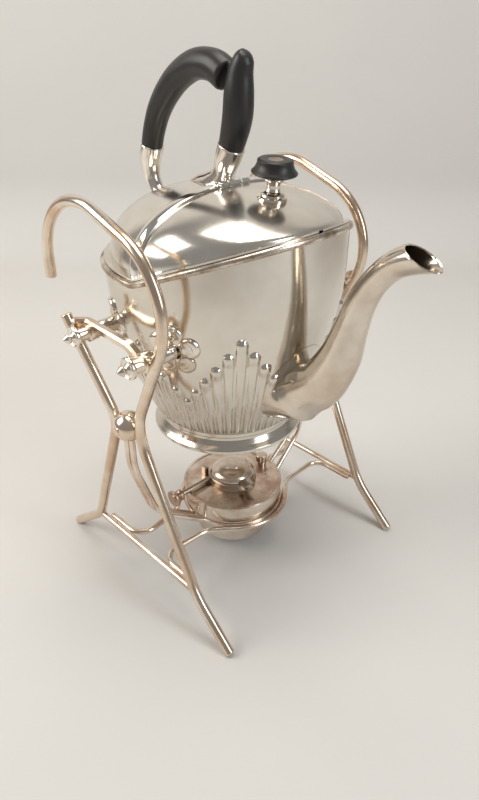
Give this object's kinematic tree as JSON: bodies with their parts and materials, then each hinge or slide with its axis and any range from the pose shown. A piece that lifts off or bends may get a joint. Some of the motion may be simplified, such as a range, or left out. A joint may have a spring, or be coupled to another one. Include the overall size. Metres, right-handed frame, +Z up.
{
  "type": "tilting spirit kettle on stand",
  "caption": "Silver-plated tea kettle that tips on pins in a bent-rod stand over a spirit burner, with a hinged half lid and a black loop handle.",
  "frame": {"origin": "point on the table midway between the four feet, under the burner's centre", "axes": "+X towards the spout, +Z up; the near side frame is at -Y and the far one at +Y"},
  "size_m": [0.2492, 0.2228, 0.3576],
  "materials": {
    "silver": "silver plated, polished, slightly tarnished",
    "worn_plate": "silver plate worn through to warm copper by heat",
    "burner_brass": "worn plated brass",
    "black_grip": "ebonised, polished",
    "cotton": "woven cotton"
  },
  "bodies": {
    "stand_frame": {"front_rod_near": "silver", "front_rod_far": "silver", "rear_rod_near": "silver", "rear_rod_far": "silver", "waist_ball_near": "silver", "waist_ball_far": "silver", "side_tie_near": "silver", "side_tie_far": "silver", "burner_ring": "silver", "wave_rod_front": "silver", "wave_rod_rear": "silver", "ring_arm_front_near": "silver", "ring_arm_front_far": "silver", "ring_arm_rear_near": "silver", "ring_arm_rear_far": "silver", "front_sleeve_near": "silver", "front_sleeve_far": "silver", "rear_sleeve_near": "silver", "rear_sleeve_far": "silver", "strap_near": "silver", "strap_far": "silver"},
    "kettle_body": {"kettle_shell": "silver", "foot_ring": "silver", "rim_bead_rear": "silver", "rim_bead_front": "silver", "hood": "silver", "hood_band": "silver", "hinge_pin": "silver", "spout": "silver", "handle_grip": "black_grip", "handle_front_socket": "silver", "handle_rear_socket": "silver", "front_rosette_near": "silver", "front_rosette_far": "silver", "rear_rosette_near": "silver", "rear_rosette_far": "silver", "rear_boss_near": "silver", "rear_boss_far": "silver", "flutes_near": "silver", "flutes_far": "silver", "pivot_pin_near": "silver", "pivot_pin_far": "silver"},
    "lid_body": {"lid_shell": "silver", "knob_stem": "silver", "knob_cap": "black_grip"},
    "near_locking_pin": {"locking_pin_near": "silver"},
    "far_locking_pin": {"locking_pin_far": "silver"},
    "burner_body": {"burner_cup": "silver", "burner_drum": "silver", "burner_plate": "worn_plate", "wick_collar": "burner_brass", "wick_tube": "burner_brass", "filler_tube": "silver", "regulator_post": "burner_brass"},
    "wick_body": {"wick": "cotton"},
    "snuffer_body": {"snuffer_cap": "silver", "snuffer_tab": "silver"},
    "filler_cap_body": {"filler_cap": "silver"},
    "regulator_body": {"regulator_shaft": "burner_brass", "regulator_knob": "silver"}
  },
  "joints": [
    {"name": "kettle_tilt", "type": "hinge", "parent": "stand_frame", "child": "kettle_body", "pos_m": [0.024, 0, 0.1985], "axis": [0, 1, 0], "range_deg": [0, 60]},
    {"name": "lid_hinge", "type": "hinge", "parent": "kettle_body", "child": "lid_body", "pos_m": [0.0026, 0, 0.2824], "axis": [0, -1, 0], "range_deg": [0, 25]},
    {"name": "locking_pin_near_pull", "type": "slide", "parent": "stand_frame", "child": "near_locking_pin", "axis": [0, -1, 0], "range_m": [0, 0.012]},
    {"name": "locking_pin_far_pull", "type": "slide", "parent": "stand_frame", "child": "far_locking_pin", "axis": [0, 1, 0], "range_m": [0, 0.012]},
    {"name": "burner_lift", "type": "slide", "parent": "stand_frame", "child": "burner_body", "axis": [0, 0, 1], "range_m": [0, 0.03]},
    {"name": "snuffer_lift", "type": "slide", "parent": "burner_body", "child": "snuffer_body", "axis": [0, 0, 1], "range_m": [0, 0.012]},
    {"name": "filler_cap_turn", "type": "hinge", "parent": "burner_body", "child": "filler_cap_body", "pos_m": [0.004, 0.029, 0.058], "axis": [0, 0, 1], "continuous": true},
    {"name": "regulator_turn", "type": "hinge", "parent": "burner_body", "child": "regulator_body", "pos_m": [-0.009, -0.025, 0.0542], "axis": [0, -1, 0], "range_deg": [-90, 90]},
    {"name": "wick_raise", "type": "slide", "parent": "burner_body", "child": "wick_body", "axis": [0, 0, 1], "range_m": [-0.002, 0.002]}
  ]
}
